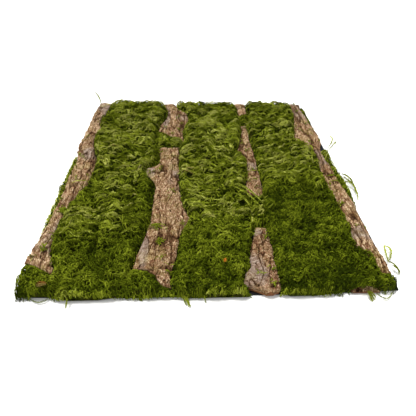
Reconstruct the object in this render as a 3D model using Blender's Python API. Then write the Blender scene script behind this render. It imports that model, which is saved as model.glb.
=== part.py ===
"""Moss and bark mat: strips of rough bark and thick pads of sheet moss, glued on a black felt sheet.

Frame: the origin is the centre of the underside, +X right, +Y towards the back edge, +Z up. Metres.
Outlines are plan shapes given as shares of the mat's side: across counts from the left edge, and
depth counts from the front edge. Every bark strip and every moss pad is one closed solid that
stands on the felt, with a narrow joint to its neighbours.
"""

import bmesh
import bpy
from mathutils import Vector, noise

# Driving dimensions, in metres
SIDE = 0.500
FELT_THICKNESS = 0.002
FELT_WAVER = 0.0012
FELT_BOW = 0.004
BEDDING = 0.0004
BARK_RIM = 0.007
BARK_CROWN = 0.0035
BARK_RIDGES = 0.0012
MOSS_RIM = 0.016
MOSS_CROWN = 0.010
MOSS_LUMPS = 0.005
TUFT_RIM = 0.013
TUFT_CROWN = 0.011
FRINGE_RIM = 0.008
FRINGE_CROWN = 0.003
CHIP_THICKNESS = 0.006

# Places of the felt outline's points along each side, as shares of the side
FELT_SHARES = (0.0, 0.12, 0.26, 0.42, 0.58, 0.74, 0.88)

# Joints between pieces: sideways against a bark edge, and end to end along a strip
SIDE_JOINT = 0.0015
END_JOINT = 0.0012

# Spacing of the extra rows that each solid gets between the points of its outline
ROW_STEP = 0.010
LUMP_SIZE = 0.045
RIDGE_WIDTH = 0.011
RIDGE_LENGTH = 0.037
WAVER_LENGTH = 0.110
BARK_SEED = 3.0
MOSS_SEED = 7.0
WELD_DISTANCE = 0.00001
SHARP_ANGLE = 0.7

# Each strip of the mat from front to back, as (depth, left edge, right edge)
LEFT_LINE = (
    (0.000, 0.008, 0.088), (0.060, 0.001, 0.086), (0.090, -0.003, 0.070), (0.120, 0.002, 0.055),
    (0.170, 0.008, 0.046), (0.220, 0.012, 0.046), (0.270, 0.014, 0.058), (0.320, 0.015, 0.056),
    (0.360, 0.016, 0.074), (0.400, 0.014, 0.086), (0.500, 0.011, 0.089), (0.550, 0.015, 0.084),
    (0.600, -0.001, 0.066), (0.650, -0.005, 0.051), (0.720, -0.004, 0.042), (0.760, -0.001, 0.058),
    (0.800, -0.003, 0.042), (0.850, -0.006, 0.037), (0.900, -0.005, 0.050), (1.000, 0.002, 0.060),
)
CENTRE_LEFT_LINE = (
    (0.000, 0.270, 0.396), (0.050, 0.284, 0.390), (0.100, 0.295, 0.404), (0.180, 0.309, 0.410),
    (0.220, 0.319, 0.430), (0.250, 0.320, 0.439), (0.290, 0.320, 0.420), (0.330, 0.320, 0.411),
    (0.400, 0.320, 0.400), (0.418, 0.316, 0.400), (0.440, 0.283, 0.400), (0.490, 0.280, 0.396),
    (0.512, 0.318, 0.395), (0.560, 0.326, 0.396), (0.620, 0.315, 0.392), (0.660, 0.300, 0.412),
    (0.700, 0.296, 0.408), (0.750, 0.306, 0.402), (0.800, 0.306, 0.418), (0.850, 0.328, 0.430),
    (0.900, 0.335, 0.420), (0.950, 0.325, 0.376), (1.000, 0.303, 0.358),
)
CENTRE_RIGHT_LINE = (
    (0.000, 0.600, 0.675), (0.020, 0.584, 0.678), (0.045, 0.590, 0.679), (0.068, 0.612, 0.677),
    (0.092, 0.607, 0.675), (0.130, 0.616, 0.678), (0.165, 0.628, 0.676), (0.210, 0.641, 0.675),
    (0.260, 0.638, 0.682), (0.340, 0.638, 0.686), (0.400, 0.634, 0.694), (0.450, 0.650, 0.691),
    (0.560, 0.658, 0.690), (0.610, 0.628, 0.690), (0.650, 0.638, 0.686), (0.700, 0.650, 0.685),
    (0.750, 0.662, 0.685), (0.790, 0.662, 0.686), (0.840, 0.656, 0.698), (0.880, 0.662, 0.700),
    (0.960, 0.662, 0.700), (1.000, 0.646, 0.701),
)
RIGHT_LINE = (
    (0.000, 0.957, 0.996), (0.030, 0.957, 0.991), (0.050, 0.958, 0.984), (0.080, 0.958, 0.986),
    (0.110, 0.952, 0.985), (0.136, 0.921, 0.982), (0.168, 0.926, 0.981), (0.200, 0.933, 0.983),
    (0.250, 0.929, 0.982), (0.300, 0.935, 0.986), (0.340, 0.932, 0.984), (0.376, 0.926, 0.981),
    (0.410, 0.922, 0.974), (0.450, 0.921, 0.971), (0.500, 0.929, 0.975), (0.545, 0.937, 0.968),
    (0.600, 0.938, 0.962), (0.640, 0.918, 0.976), (0.665, 0.884, 0.985), (0.710, 0.884, 0.991),
    (0.770, 0.896, 0.989), (0.800, 0.902, 0.985), (0.840, 0.914, 0.978), (0.900, 0.923, 0.972),
    (0.960, 0.927, 0.973), (1.000, 0.908, 0.976),
)

# End lines of the pieces, as (share of the piece's width, depth)
LEFT_BARK_FRONT = ((0.0, 0.092), (0.5, 0.075), (1.0, 0.050))
RIGHT_BARK_FRONT = ((0.0, 0.044), (0.5, 0.034), (1.0, 0.038))
FRONT_TUFT_BACK = ((0.0, 0.062), (0.4, 0.058), (0.6, 0.045), (0.8, 0.012), (1.0, 0.006))
BRIDGE_FRONT = ((0.0, 0.624), (0.6, 0.618), (1.0, 0.626))
BRIDGE_BACK = ((0.0, 0.748), (0.4, 0.718), (0.8, 0.684), (1.0, 0.664))
RIGHT_FRONT_BARK_FRONT = ((0.0, 0.010), (0.25, -0.001), (0.5, -0.009), (0.75, -0.009), (1.0, -0.002))
LEFT_MOSS_FRONT = ((0.0, -0.004), (0.125, -0.011), (0.5, -0.014), (1.0, -0.009))
CENTRE_MOSS_FRONT = ((0.0, -0.010), (0.25, -0.012), (0.5, -0.010), (1.0, -0.013))
RIGHT_MOSS_FRONT = ((0.0, -0.010), (0.25, -0.013), (0.583, -0.006), (0.667, 0.017), (1.0, 0.017))
FRONT_TUFT_FRONT = ((0.0, -0.009), (0.4, -0.006), (1.0, -0.010))
BACK_EDGE = ((0.0, 1.000), (0.4, 1.003), (0.7, 0.998), (1.0, 1.001))

# Solids on the mat's outer edges, as (depth, left edge, right edge)
LEFT_FRINGE = (
    (0.180, -0.001, 0.005), (0.260, -0.003, 0.010), (0.330, -0.005, 0.011), (0.400, -0.008, 0.009),
    (0.500, -0.008, 0.007), (0.550, -0.009, 0.008), (0.580, -0.008, 0.000),
)
RIGHT_FRINGE = (
    (0.300, 0.990, 0.997), (0.360, 0.987, 1.004), (0.420, 0.978, 1.008), (0.480, 0.979, 1.002),
    (0.550, 0.972, 0.996), (0.600, 0.968, 1.003), (0.625, 0.978, 1.003),
)
BACK_FRINGE = ((0.830, 0.984, 0.991), (0.890, 0.977, 0.991), (0.940, 0.977, 0.990), (0.985, 0.980, 0.989))
CHIP = ((-0.006, 0.870, 0.944), (0.006, 0.866, 0.950), (0.0135, 0.868, 0.948))


def between(points, where):
    """The straight-line value at a place along a list of (place, value) points."""
    if where <= points[0][0]:
        return points[0][1]
    for (start, low), (end, high) in zip(points, points[1:]):
        if where <= end:
            return low + (high - low) * (where - start) / (end - start)
    return points[-1][1]


def side_of(line, column):
    """One edge of a strip, as (depth, across) points: column 1 is its left edge, 2 its right."""
    return tuple((station[0], station[column]) for station in line)


def moved(points, distance):
    """The same edge moved sideways, or along the depth, by a distance in metres."""
    return tuple((place, value + distance / SIDE) for place, value in points)


def level(depth):
    """An end line that runs straight across a strip."""
    return ((0.0, depth), (1.0, depth))


def row_depths(left, right, front, back):
    """Depths of a solid's rows: all the points of its edges, with even steps between them."""
    first = min(depth for _, depth in front)
    last = max(depth for _, depth in back)
    marks = {depth for depth, _ in left + right} | {depth for _, depth in front + back}
    marks = sorted({first, last} | {depth for depth in marks if first < depth < last})
    depths = []
    for start, end in zip(marks, marks[1:]):
        steps = max(1, round((end - start) * SIDE / ROW_STEP))
        depths += [start + (end - start) * step / steps for step in range(steps)]
    return depths + [last]


def swell(share):
    """0 at both ends of a width or length and 1 over its middle, with round shoulders."""
    from_middle = abs(2.0 * share - 1.0)
    return 1.0 - from_middle ** 4


def bark_top(u, v, x, y):
    """Bark is thickest along its middle line, with long shallow ridges."""
    ridges = noise.noise(Vector((x / RIDGE_WIDTH, y / RIDGE_LENGTH, BARK_SEED)))
    return BARK_RIM + BARK_CROWN * (1.0 - (2.0 * u - 1.0) ** 2) + BARK_RIDGES * ridges


def moss_top(rim, crown, lumps):
    """The top of a moss pad: a rounded rim and a lumpy crown."""
    def height(u, v, x, y):
        lump = noise.noise(Vector((x / LUMP_SIZE, y / LUMP_SIZE, MOSS_SEED)))
        return rim + (crown + lumps * lump) * swell(u) * swell(v)
    return height


def chip_top(u, v, x, y):
    """A flat flake of bark."""
    return CHIP_THICKNESS


def make_solid(name, left, right, front, back, top, columns, material, home):
    """One closed solid on the felt, between two side edges and two end lines.

    A grid's columns run from the left to the right edge and its rows from front to back. The grid
    is the underside, and its copy, pushed up to the height that top gives, is the upper face.
    """
    depths = row_depths(left, right, front, back)
    rows = len(depths) - 1
    base = FELT_THICKNESS + BEDDING
    body = bmesh.new()
    bmesh.ops.create_grid(body, x_segments=columns, y_segments=rows, size=0.5)
    height = body.verts.layers.float.new("height")
    for vertex in body.verts:
        u = vertex.co.x + 0.5
        depth = depths[round((vertex.co.y + 0.5) * rows)]
        start = between(front, u)
        end = between(back, u)
        depth = min(max(depth, start), end)
        across = between(left, depth) * (1.0 - u) + between(right, depth) * u
        x = (across - 0.5) * SIDE
        y = (depth - 0.5) * SIDE
        vertex.co = (x, y, base)
        vertex[height] = top(u, (depth - start) / (end - start), x, y)
    bmesh.ops.remove_doubles(body, verts=body.verts, dist=WELD_DISTANCE)
    pushed = bmesh.ops.extrude_face_region(body, geom=body.faces[:])
    raised = {item for item in pushed["geom"] if isinstance(item, bmesh.types.BMVert)}
    for vertex in raised:
        vertex.co.z = base + vertex[height]
    under = [face for face in body.faces if not any(vertex in raised for vertex in face.verts)]
    bmesh.ops.dissolve_faces(body, faces=under)
    bmesh.ops.recalc_face_normals(body, faces=body.faces[:])
    mesh = bpy.data.meshes.new(name)
    body.to_mesh(mesh)
    body.free()
    mesh.materials.append(material)
    mesh.shade_smooth()
    mesh.set_sharp_from_angle(angle=SHARP_ANGLE)
    solid = bpy.data.objects.new(name, mesh)
    home.objects.link(solid)
    return solid


def make_felt(material, home):
    """The backing sheet: a square cut by hand. Its sides waver, and its front side bows outwards."""
    half = SIDE / 2
    corners = ((-half, -half), (half, -half), (half, half), (-half, half))
    points = []
    for (x0, y0), (x1, y1) in zip(corners, corners[1:] + corners[:1]):
        is_front = y0 < 0.0 and y1 < 0.0
        for share in FELT_SHARES:
            x = x0 + (x1 - x0) * share
            y = y0 + (y1 - y0) * share
            waver = FELT_WAVER * noise.noise(Vector((x / WAVER_LENGTH, y / WAVER_LENGTH, MOSS_SEED)))
            inset = 1.0 - (FELT_WAVER + waver) / half
            bow = 4.0 * FELT_BOW * share * (1.0 - share) if is_front else 0.0
            points.append((x * inset, y * inset - bow))
    outline = bpy.data.curves.new("felt_outline", "CURVE")
    outline.dimensions = "2D"
    outline.fill_mode = "BOTH"
    outline.extrude = FELT_THICKNESS / 2
    spline = outline.splines.new("POLY")
    spline.points.add(len(points) - 1)
    for point, (x, y) in zip(spline.points, points):
        point.co = (x, y, 0.0, 1.0)
    spline.use_cyclic_u = True
    outline.materials.append(material)
    felt = bpy.data.objects.new("felt_backing", outline)
    felt.location.z = FELT_THICKNESS / 2
    home.objects.link(felt)
    return felt


def make_material(name, colour, roughness):
    material = bpy.data.materials.new(name)
    material.use_nodes = True
    shader = material.node_tree.nodes["Principled BSDF"]
    shader.inputs["Base Color"].default_value = (*colour, 1.0)
    shader.inputs["Roughness"].default_value = roughness
    shader.inputs["Metallic"].default_value = 0.0
    return material


def make_bark(material, home):
    """The bark: long strips on the two edges, and broken lengths along two lines between them."""
    pieces = (
        ("bark_left", LEFT_LINE, LEFT_BARK_FRONT, level(0.998), 4),
        ("bark_centre_left_front", CENTRE_LEFT_LINE, moved(FRONT_TUFT_BACK, END_JOINT), BRIDGE_FRONT, 5),
        ("bark_centre_left_back", CENTRE_LEFT_LINE, BRIDGE_BACK, level(0.994), 5),
        ("bark_centre_right_front", CENTRE_RIGHT_LINE, RIGHT_FRONT_BARK_FRONT, level(0.205), 4),
        ("bark_centre_right_middle", CENTRE_RIGHT_LINE, level(0.344), level(0.792), 3),
        ("bark_centre_right_back", CENTRE_RIGHT_LINE, level(0.880), level(1.000), 3),
        ("bark_right", RIGHT_LINE, RIGHT_BARK_FRONT, level(1.000), 4),
    )
    for name, line, front, back, columns in pieces:
        make_solid(name, side_of(line, 1), side_of(line, 2), front, back, bark_top, columns,
                   material, home)
    make_solid("bark_front_chip", side_of(CHIP, 1), side_of(CHIP, 2), level(-0.006), level(0.0135),
               chip_top, 3, material, home)


def make_moss(material, home):
    """The moss: three wide pads between the bark, and smaller tufts that close the gaps in it."""
    pad_top = moss_top(MOSS_RIM, MOSS_CROWN, MOSS_LUMPS)
    tuft_top = moss_top(TUFT_RIM, TUFT_CROWN, MOSS_LUMPS)
    fringe_top = moss_top(FRINGE_RIM, FRINGE_CROWN, 0.0)
    pads = (
        ("moss_left", LEFT_LINE, CENTRE_LEFT_LINE, LEFT_MOSS_FRONT, 8),
        ("moss_centre", CENTRE_LEFT_LINE, CENTRE_RIGHT_LINE, CENTRE_MOSS_FRONT, 8),
        ("moss_right", CENTRE_RIGHT_LINE, RIGHT_LINE, RIGHT_MOSS_FRONT, 12),
    )
    for name, before, after, front, columns in pads:
        left = moved(side_of(before, 2), SIDE_JOINT)
        right = moved(side_of(after, 1), -SIDE_JOINT)
        make_solid(name, left, right, front, BACK_EDGE, pad_top, columns, material, home)

    fills = (
        ("moss_front_left_corner", LEFT_LINE, level(-0.003), moved(LEFT_BARK_FRONT, -END_JOINT), 4),
        ("moss_front_tuft", CENTRE_LEFT_LINE, FRONT_TUFT_FRONT, FRONT_TUFT_BACK, 5),
        ("moss_bridge_left", CENTRE_LEFT_LINE, moved(BRIDGE_FRONT, END_JOINT),
         moved(BRIDGE_BACK, -END_JOINT), 5),
        ("moss_bridge_right_front", CENTRE_RIGHT_LINE, level(0.208), level(0.341), 4),
        ("moss_bridge_right_back", CENTRE_RIGHT_LINE, level(0.795), level(0.877), 4),
        ("moss_front_right_corner", RIGHT_LINE, level(0.017), moved(RIGHT_BARK_FRONT, -END_JOINT), 4),
    )
    for name, line, front, back, columns in fills:
        make_solid(name, side_of(line, 1), side_of(line, 2), front, back, tuft_top, columns,
                   material, home)

    fringes = (
        ("moss_left_fringe", LEFT_FRINGE),
        ("moss_right_fringe", RIGHT_FRINGE),
        ("moss_back_right_fringe", BACK_FRINGE),
    )
    for name, line in fringes:
        front = level(line[0][0])
        back = level(line[-1][0])
        make_solid(name, side_of(line, 1), side_of(line, 2), front, back, fringe_top, 3, material, home)


for old in list(bpy.data.objects):
    bpy.data.objects.remove(old, do_unlink=True)

mat = bpy.data.collections.new("moss_and_bark_mat")
bpy.context.scene.collection.children.link(mat)
make_felt(make_material("black_felt", (0.012, 0.013, 0.012), 0.9), mat)
make_bark(make_material("dry_bark", (0.36, 0.23, 0.15), 0.85), mat)
make_moss(make_material("green_moss", (0.16, 0.28, 0.03), 0.9), mat)
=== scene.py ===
import math

import bmesh
import bpy
import numpy as np
from mathutils import Matrix, Vector


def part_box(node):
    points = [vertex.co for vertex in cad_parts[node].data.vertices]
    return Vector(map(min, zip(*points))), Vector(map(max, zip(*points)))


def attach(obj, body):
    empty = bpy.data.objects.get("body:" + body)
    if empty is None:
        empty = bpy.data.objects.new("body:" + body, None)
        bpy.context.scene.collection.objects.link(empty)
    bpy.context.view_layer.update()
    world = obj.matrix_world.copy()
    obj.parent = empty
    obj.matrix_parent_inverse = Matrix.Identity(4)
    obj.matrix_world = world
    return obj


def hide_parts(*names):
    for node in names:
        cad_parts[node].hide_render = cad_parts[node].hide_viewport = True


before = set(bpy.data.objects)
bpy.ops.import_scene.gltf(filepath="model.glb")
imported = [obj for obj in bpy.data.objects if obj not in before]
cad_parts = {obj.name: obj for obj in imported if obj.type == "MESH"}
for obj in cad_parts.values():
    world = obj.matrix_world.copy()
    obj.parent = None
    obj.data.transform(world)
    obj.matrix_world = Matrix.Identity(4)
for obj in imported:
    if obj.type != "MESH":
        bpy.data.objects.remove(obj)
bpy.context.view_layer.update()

# ------------------------------------------------------------------------------------------------
# Table, light and camera
# A pale matt table top under one broad soft light, in an evenly lit pale room. The camera looks
# down on the mat from close in front of it, through a wide lens.
# ------------------------------------------------------------------------------------------------
TABLE_HALF = 6.0
CAMERA_PLACE = Vector((-0.020, -0.431, 0.351))
CAMERA_PITCH = math.radians(46.1)
CAMERA_YAW = math.radians(3.4)
CAMERA_ROLL = math.radians(2.05)
CAMERA_LENS = 25.27
SENSOR_WIDTH = 36.0
SUN_SOURCE = (-0.30, 0.36, 1.0)
SUN_SPREAD = math.radians(22)
SUN_STRENGTH = 4.6
SUN_COLOUR = (1.0, 0.99, 0.97)
ROOM_STRENGTH = 0.75


def make_table():
    """One large square of matt pale board."""
    board = bpy.data.materials.new("pale_table")
    board.use_nodes = True
    shader = board.node_tree.nodes["Principled BSDF"]
    shader.inputs["Base Color"].default_value = (0.90, 0.90, 0.89, 1.0)
    shader.inputs["Roughness"].default_value = 0.7
    shader.inputs["Specular IOR Level"].default_value = 0.2
    corners = [(-TABLE_HALF, -TABLE_HALF, 0), (TABLE_HALF, -TABLE_HALF, 0),
               (TABLE_HALF, TABLE_HALF, 0), (-TABLE_HALF, TABLE_HALF, 0)]
    mesh = bpy.data.meshes.new("table_top")
    mesh.from_pydata(corners, [], [(0, 1, 2, 3)])
    mesh.materials.append(board)
    table = bpy.data.objects.new("table_top", mesh)
    bpy.context.scene.collection.objects.link(table)


def add_lights():
    """One broad sun from above, behind and to the left, and an even pale room around it."""
    light = bpy.data.lights.new("soft_top_light", "SUN")
    light.angle = SUN_SPREAD
    light.energy = SUN_STRENGTH
    light.color = SUN_COLOUR
    lamp = bpy.data.objects.new("soft_top_light", light)
    lamp.rotation_euler = Vector(SUN_SOURCE).to_track_quat("Z", "Y").to_euler()
    bpy.context.scene.collection.objects.link(lamp)
    world = bpy.data.worlds.new("pale_room")
    world.use_nodes = True
    background = world.node_tree.nodes["Background"]
    background.inputs["Color"].default_value = (1.0, 1.0, 1.0, 1.0)
    background.inputs["Strength"].default_value = ROOM_STRENGTH
    bpy.context.scene.world = world
    bpy.context.scene.view_settings.view_transform = "Standard"


def make_camera():
    """The view direction is turned by yaw about the vertical and tipped down by pitch, then rolled."""
    forward = Vector((math.sin(CAMERA_YAW) * math.cos(CAMERA_PITCH),
                      math.cos(CAMERA_YAW) * math.cos(CAMERA_PITCH), -math.sin(CAMERA_PITCH)))
    level = Vector((math.cos(CAMERA_YAW), -math.sin(CAMERA_YAW), 0.0))
    upright = level.cross(forward)
    right = level * math.cos(CAMERA_ROLL) + upright * math.sin(CAMERA_ROLL)
    up = upright * math.cos(CAMERA_ROLL) - level * math.sin(CAMERA_ROLL)
    axes = Matrix((right, up, -forward)).transposed().to_4x4()
    data = bpy.data.cameras.new("camera")
    data.lens = CAMERA_LENS
    data.sensor_width = SENSOR_WIDTH
    data.clip_start = 0.01
    camera = bpy.data.objects.new("camera", data)
    camera.matrix_world = Matrix.Translation(CAMERA_PLACE) @ axes
    bpy.context.scene.collection.objects.link(camera)
    bpy.context.scene.camera = camera


make_table()
make_camera()
add_lights()

# ------------------------------------------------------------------------------------------------
# Felt backing
# One square of black needled felt, cut by hand, that carries everything else. It keeps the shape
# it has in the frame and gets a felt finish: matted fibres, lint and a faint grey nap.
# ------------------------------------------------------------------------------------------------
FIBRE_SCALE = 900.0
LINT_SCALE = 160.0


class Shading:
    """A material under construction: add nodes by type, and join them by socket."""

    def __init__(self, name, roughness, gloss=0.06):
        self.material = bpy.data.materials.new(name)
        self.material.use_nodes = True
        self.nodes = self.material.node_tree.nodes
        self.links = self.material.node_tree.links
        self.shader = self.nodes["Principled BSDF"]
        self.shader.inputs["Roughness"].default_value = roughness
        self.shader.inputs["Specular IOR Level"].default_value = gloss

    def link(self, source, target):
        self.links.new(source, target)

    def coordinates(self, output="Object"):
        return self.nodes.new("ShaderNodeTexCoord").outputs[output]

    def stretched(self, vector, scale):
        mapping = self.nodes.new("ShaderNodeMapping")
        mapping.inputs["Scale"].default_value = scale
        self.link(vector, mapping.inputs["Vector"])
        return mapping.outputs["Vector"]

    def noise(self, vector, scale, detail=3.0, roughness=0.55, distortion=0.0):
        node = self.nodes.new("ShaderNodeTexNoise")
        node.inputs["Scale"].default_value = scale
        node.inputs["Detail"].default_value = detail
        node.inputs["Roughness"].default_value = roughness
        node.inputs["Distortion"].default_value = distortion
        self.link(vector, node.inputs["Vector"])
        return node.outputs["Fac"]

    def ramp(self, factor, stops):
        node = self.nodes.new("ShaderNodeValToRGB")
        elements = node.color_ramp.elements
        while len(elements) < len(stops):
            elements.new(0.5)
        for element, (place, colour) in zip(elements, stops):
            element.position = place
            element.color = (*colour, 1.0)
        self.link(factor, node.inputs["Fac"])
        return node.outputs["Color"]

    def attribute(self, name):
        node = self.nodes.new("ShaderNodeAttribute")
        node.attribute_name = name
        return node.outputs["Fac"]

    def mix(self, factor, first, second, blend="MIX"):
        node = self.nodes.new("ShaderNodeMix")
        node.data_type = "RGBA"
        node.blend_type = blend
        for value, socket in ((factor, 0), (first, 6), (second, 7)):
            if isinstance(value, (float, tuple)):
                node.inputs[socket].default_value = value if socket == 0 else (*value, 1.0)
            else:
                self.link(value, node.inputs[socket])
        return node.outputs[2]

    def math(self, operation, first, second):
        node = self.nodes.new("ShaderNodeMath")
        node.operation = operation
        node.use_clamp = True
        for value, socket in ((first, 0), (second, 1)):
            if isinstance(value, float):
                node.inputs[socket].default_value = value
            else:
                self.link(value, node.inputs[socket])
        return node.outputs[0]

    def bump(self, height, strength, distance):
        node = self.nodes.new("ShaderNodeBump")
        node.inputs["Strength"].default_value = strength
        node.inputs["Distance"].default_value = distance
        self.link(height, node.inputs["Height"])
        self.link(node.outputs["Normal"], self.shader.inputs["Normal"])

    def finish(self, colour):
        self.link(colour, self.shader.inputs["Base Color"])
        return self.material


def felt_finish():
    """Black matted fibres with a grey nap, and pale lint here and there."""
    felt = Shading("black_needled_felt", 0.95)
    place = felt.coordinates()
    fibres = felt.noise(felt.stretched(place, (1.0, 0.45, 1.0)), FIBRE_SCALE, 4.0, 0.7, 1.2)
    lint = felt.noise(place, LINT_SCALE, 5.0, 0.7)
    nap = felt.ramp(fibres, ((0.30, (0.004, 0.004, 0.005)), (0.62, (0.022, 0.022, 0.024)),
                             (0.80, (0.060, 0.060, 0.062))))
    dust = felt.ramp(lint, ((0.60, (0.0, 0.0, 0.0)), (0.78, (0.30, 0.30, 0.30))))
    colour = felt.mix(felt.math("MULTIPLY", dust, 0.5), nap, (0.075, 0.065, 0.045))
    felt.bump(fibres, 0.8, 0.0006)
    return felt.finish(colour)


felt_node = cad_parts["felt_backing"]
felt_node.data.materials.clear()
felt_node.data.materials.append(felt_finish())

# ------------------------------------------------------------------------------------------------
# Bark strips
# Seven lengths of thick outer bark and one broken chip, glued on the felt from front to back. The
# bark is furrowed and covered in thin curling scales, and broken off short at its ends.
# ------------------------------------------------------------------------------------------------
BARK_ROW = 0.00062
BARK_COLUMN = 0.00056
BARK_SIDE = 0.0095
BARK_RISE = 0.0022
LAYERS = 6.0
GREY_PLACES = ((0.045, -0.237, 0.013, 0.015), (-0.103, -0.016, 0.012, 0.018),
               (-0.093, -0.190, 0.008, 0.035), (-0.085, 0.175, 0.010, 0.050),
               (0.068, -0.157, 0.012, 0.008), (0.083, 0.000, 0.012, 0.016))
END_CLEARANCE = 0.0001
RAGGED = 0.0024
LEAST_THICKNESS = 0.0015


def hashed(ix, iy, seed):
    """A repeatable random share for each whole-number lattice point: integer products, mixed and cut."""
    h = ix.astype(np.int64) * 374761393 + iy.astype(np.int64) * 668265263 + seed * 1442695041
    h = (h ^ (h >> 13)) * 1274126177
    h = h ^ (h >> 16)
    return (h & 0xFFFFFF) / float(0x1000000)


def value_noise(x, y, seed):
    """Smooth noise, 0 to 1: lattice values blended with the weights 3t^2 - 2t^3 across each cell."""
    ix, iy = np.floor(x), np.floor(y)
    tx, ty = x - ix, y - iy
    tx, ty = tx * tx * (3 - 2 * tx), ty * ty * (3 - 2 * ty)
    low = hashed(ix, iy, seed) * (1 - tx) + hashed(ix + 1, iy, seed) * tx
    high = hashed(ix, iy + 1, seed) * (1 - tx) + hashed(ix + 1, iy + 1, seed) * tx
    return low * (1 - ty) + high * ty


def rough(x, y, size, octaves, seed):
    """Several layers of value_noise, each at half the size and half the strength, between -1 and 1."""
    total, weight, reach = 0.0, 1.0, 0.0
    for octave in range(octaves):
        step = 2.0 ** octave / size
        total = total + weight * (2.0 * value_noise(x * step, y * step, seed + octave * 17) - 1.0)
        reach += weight
        weight *= 0.5
    return total / reach


def cells(x, y, seed):
    """Cracked plates: each point goes to its nearest jittered lattice point.

    Returns that plate's random share, how far inside its border the point lies, from 0 on the
    border, and the offset from the plate's centre.
    """
    ix, iy = np.floor(x), np.floor(y)
    nearest = np.full(x.shape, 9.0)
    second = np.full(x.shape, 9.0)
    share = np.zeros(x.shape)
    off_x, off_y = np.zeros(x.shape), np.zeros(x.shape)
    for dx in (-1, 0, 1):
        for dy in (-1, 0, 1):
            cx, cy = ix + dx, iy + dy
            px = cx + 0.5 + 0.8 * (hashed(cx, cy, seed) - 0.5)
            py = cy + 0.5 + 0.8 * (hashed(cx, cy, seed + 5) - 0.5)
            gap = np.hypot(x - px, y - py)
            closer = gap < nearest
            second = np.where(closer, nearest, np.minimum(second, gap))
            share = np.where(closer, hashed(cx, cy, seed + 11), share)
            off_x = np.where(closer, x - px, off_x)
            off_y = np.where(closer, y - py, off_y)
            nearest = np.where(closer, gap, nearest)
    return share, second - nearest, off_x, off_y


def smooth(low, high, value):
    """0 up to low, 1 from high on, and 3t^2 - 2t^3 along the way between."""
    t = np.clip((value - low) / (high - low), 0.0, 1.0)
    return t * t * (3.0 - 2.0 * t)


def bark_relief(x, y, seed, grain, lift=0.0):
    """Bark's upper face: height in metres, and shares for tone, painted crack shade and grey weathering.

    Smooth bent noise, stretched along the strip by the grain, is cut into layers that each end in
    a thin curled ledge over a dark gap, as bark sheds its layers. Small tilted flakes cover them,
    long furrows part them, and deep pits break through. Weathered places are smoother and greyer.
    The crack share darkens the gaps, cracks, furrows and pits: painted shade in these recesses.
    """
    bent_x = x + 0.0050 * rough(x, y, 0.026, 2, seed) + 0.0014 * rough(x, y, 0.0065, 2, seed + 3)
    bent_y = y + 0.0060 * rough(x, y, 0.022, 2, seed + 7) + 0.0014 * rough(x, y, 0.0065, 2, seed + 9)
    grey = smooth(0.10, 0.50, rough(x, y, 0.045, 3, seed + 90))
    for centre_x, centre_y, reach_x, reach_y in GREY_PLACES:
        away = np.hypot((x - centre_x) / reach_x, (y - centre_y) / reach_y)
        grey = np.maximum(grey, 1.0 - smooth(0.6, 1.1, away))
    swell = 0.5 + 0.5 * rough(bent_x, bent_y / grain, 0.0120, 3, seed + 20)
    layer = np.floor(swell * LAYERS)
    inside = swell * LAYERS - layer
    ledge = smooth(0.0, 0.22, inside)
    gap = 1.0 - smooth(0.02, 0.20, inside)
    rim = smooth(0.16, 0.30, inside) * (1.0 - smooth(0.40, 0.70, inside))
    flake, flake_in, flake_x, flake_y = cells(bent_x / 0.0025, bent_y / (0.0017 * grain), seed + 40)
    crack = 1.0 - smooth(0.02, 0.30, flake_in)
    furrow = smooth(0.86, 0.985, 1.0 - np.abs(rough(bent_x, 0.45 * bent_y / grain, 0.012, 2, seed + 60)))
    pit_share, _, pit_x, pit_y = cells(bent_x / 0.009, bent_y / (0.009 * grain), seed + 70)
    pit = (pit_share > 0.72) * (1.0 - smooth(0.06, 0.20, np.hypot(1.6 * pit_x, pit_y)))
    calm = 1.0 - 0.6 * grey
    height = (0.0036 * (layer + ledge) / LAYERS - 0.0018 - 0.0007 * gap * calm
              + calm * (0.0009 * (flake - 0.5) + 0.0014 * (flake_x * (flake - 0.5) + 0.5 * flake_y)
                        - 0.0009 * crack)
              - 0.0016 * furrow - 0.0030 * pit + 0.00045 * rough(x, y, 0.0022, 2, seed + 80))
    tone = 0.47 + lift + 0.52 * (flake - 0.5) * calm + 0.28 * rim + 0.10 * rough(x, y, 0.030, 2, seed + 85)
    # Painted shade: the gaps under ledges, the cracks, furrows and pits are darkened as recesses in shade.
    crack_shade = np.clip(0.50 * gap + 0.72 * crack * calm + 0.75 * furrow + 0.95 * pit, 0.0, 1.0)
    return height, tone, crack_shade, grey


def spans(name, rows):
    """Where a level line at each depth enters and leaves a frame piece's plan.

    Every edge of its mesh that the line crosses gives one crossing; the lowest and the highest
    are the piece's left and right edges there.
    """
    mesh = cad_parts[name].data
    points = np.empty(len(mesh.vertices) * 3)
    mesh.vertices.foreach_get("co", points)
    ends = np.empty(len(mesh.edges) * 2, np.int64)
    mesh.edges.foreach_get("vertices", ends)
    points = points.reshape(-1, 3)
    first, second = points[ends[0::2]], points[ends[1::2]]
    run = second[:, 1] - first[:, 1]
    run = np.where(np.abs(run) < 1e-9, 1e-9, run)
    share = (rows[:, None] - first[:, 1]) / run
    crossing = first[:, 0] + share * (second[:, 0] - first[:, 0])
    met = (share >= 0.0) & (share <= 1.0)
    return np.where(met, crossing, 9.0).min(1), np.where(met, crossing, -9.0).max(1)


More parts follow.
